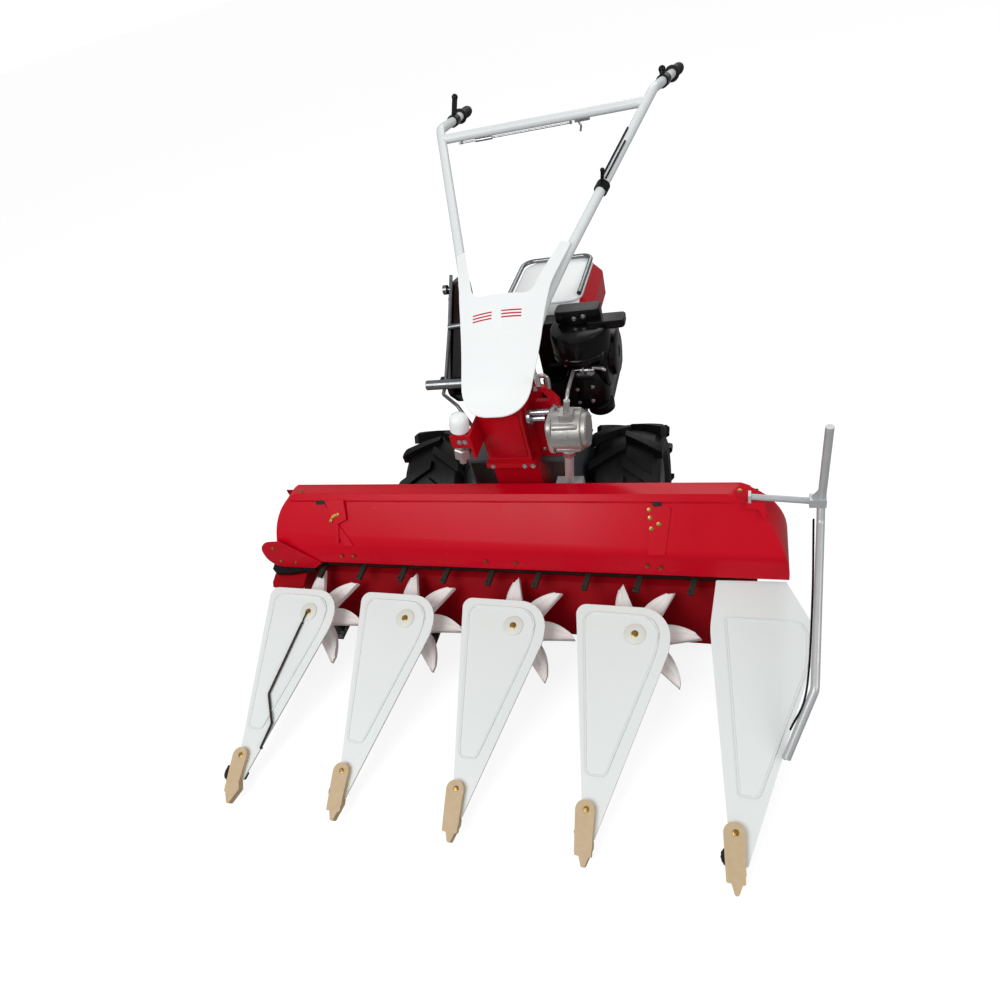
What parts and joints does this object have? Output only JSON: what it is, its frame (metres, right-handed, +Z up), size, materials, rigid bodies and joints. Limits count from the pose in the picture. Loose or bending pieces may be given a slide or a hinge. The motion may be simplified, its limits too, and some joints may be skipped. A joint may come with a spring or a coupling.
{
  "type": "walk-behind reaper",
  "caption": "Walk-behind reaper with a red side-throwing header, pale crop dividers, star wheels, lugged tyres and a petrol engine under a white console",
  "frame": {"origin": "middle of the footprint on the ground: bottom centre of the bounding box", "axes": "+X to the operator's left, +Y backwards to the handlebar grips, +Z up; the machine drives and cuts towards -Y"},
  "size_m": [1.4844, 2.0346, 1.076],
  "materials": {
    "black_paint": "satin",
    "black_plastic": "matte",
    "bright_steel": "satin",
    "cast_alloy": "matte",
    "chrome_tube": "polished",
    "dark_grey_paint": "satin",
    "dark_red_paint": "gloss",
    "dark_steel": "matte",
    "grey_paint": "satin",
    "grip_rubber": "matte",
    "nylon": "matte",
    "pale_panel": "gloss",
    "pale_tube_paint": "gloss",
    "red_paint": "gloss",
    "star_plastic": "gloss",
    "tyre_rubber": "matte",
    "white_plastic": "gloss"
  },
  "bodies": {
    "machine": {"air_cleaner": "black_plastic", "arm_cables": "black_plastic", "axle_housings": "red_paint", "belt_guard": "black_plastic", "chain_guard": "black_plastic", "chain_rail": "dark_steel", "console": "white_plastic", "control_rods": "bright_steel", "conveyor_chain": "dark_steel", "crankcase": "black_paint", "cutter_bar": "dark_steel", "cylinder": "black_paint", "divider_arms": "dark_steel", "divider_noses": "nylon", "divider_plates": "pale_panel", "divider_wire": "dark_steel", "drive_housing": "cast_alloy", "drive_shaft": "bright_steel", "fan_housing": "black_plastic", "filter_body": "cast_alloy", "filter_bracket": "red_paint", "filter_cup": "white_plastic", "frame_plates": "dark_grey_paint", "fuel_tank": "red_paint", "gearbox_case": "red_paint", "grips": "grip_rubber", "guide_bracket": "chrome_tube", "guide_rod": "chrome_tube", "handlebar": "pale_tube_paint", "header_beam": "dark_red_paint", "header_deck": "dark_red_paint", "header_hood": "red_paint", "header_rail": "red_paint", "header_rear_wall": "red_paint", "header_ribs": "dark_red_paint", "hitch_arms": "red_paint", "hood_plates": "red_paint", "lever_clamps": "black_plastic", "outer_divider": "pale_panel", "pto_stub": "bright_steel", "side_levers": "bright_steel", "skid_shoes": "dark_steel", "star_posts": "bright_steel", "tank_guard": "chrome_tube", "tank_top": "white_plastic"},
    "wheel_body_left": {"wheel_left": "grey_paint", "tyre_left": "tyre_rubber"},
    "wheel_body_right": {"wheel_right": "grey_paint", "tyre_right": "tyre_rubber"},
    "star_body_1": {"star_wheel_1": "star_plastic"},
    "star_body_2": {"star_wheel_2": "star_plastic"},
    "star_body_3": {"star_wheel_3": "star_plastic"},
    "star_body_4": {"star_wheel_4": "star_plastic"},
    "knife_body": {"knife": "bright_steel"}
  },
  "joints": [
    {"name": "wheel_turn_left", "type": "hinge", "parent": "machine", "child": "wheel_body_left", "pos_m": [0.17775, -0.04526, 0.188], "axis": [1, 0, 0], "continuous": true},
    {"name": "wheel_turn_right", "type": "hinge", "parent": "machine", "child": "wheel_body_right", "pos_m": [-0.12225, -0.04526, 0.188], "axis": [1, 0, 0], "continuous": true},
    {"name": "star_turn_1", "type": "hinge", "parent": "machine", "child": "star_body_1", "pos_m": [-0.56425, -0.52134, 0.13917], "axis": [0, -0.3256, 0.9455], "continuous": true},
    {"name": "star_turn_2", "type": "hinge", "parent": "machine", "child": "star_body_2", "pos_m": [-0.26425, -0.52134, 0.13917], "axis": [0, -0.3256, 0.9455], "continuous": true},
    {"name": "star_turn_3", "type": "hinge", "parent": "machine", "child": "star_body_3", "pos_m": [0.03575, -0.52134, 0.13917], "axis": [0, -0.3256, 0.9455], "continuous": true},
    {"name": "star_turn_4", "type": "hinge", "parent": "machine", "child": "star_body_4", "pos_m": [0.33575, -0.52134, 0.13917], "axis": [0, -0.3256, 0.9455], "continuous": true},
    {"name": "knife_slide", "type": "slide", "parent": "machine", "child": "knife_body", "axis": [1, 0, 0], "range_m": [-0.025, 0.025]}
  ]
}
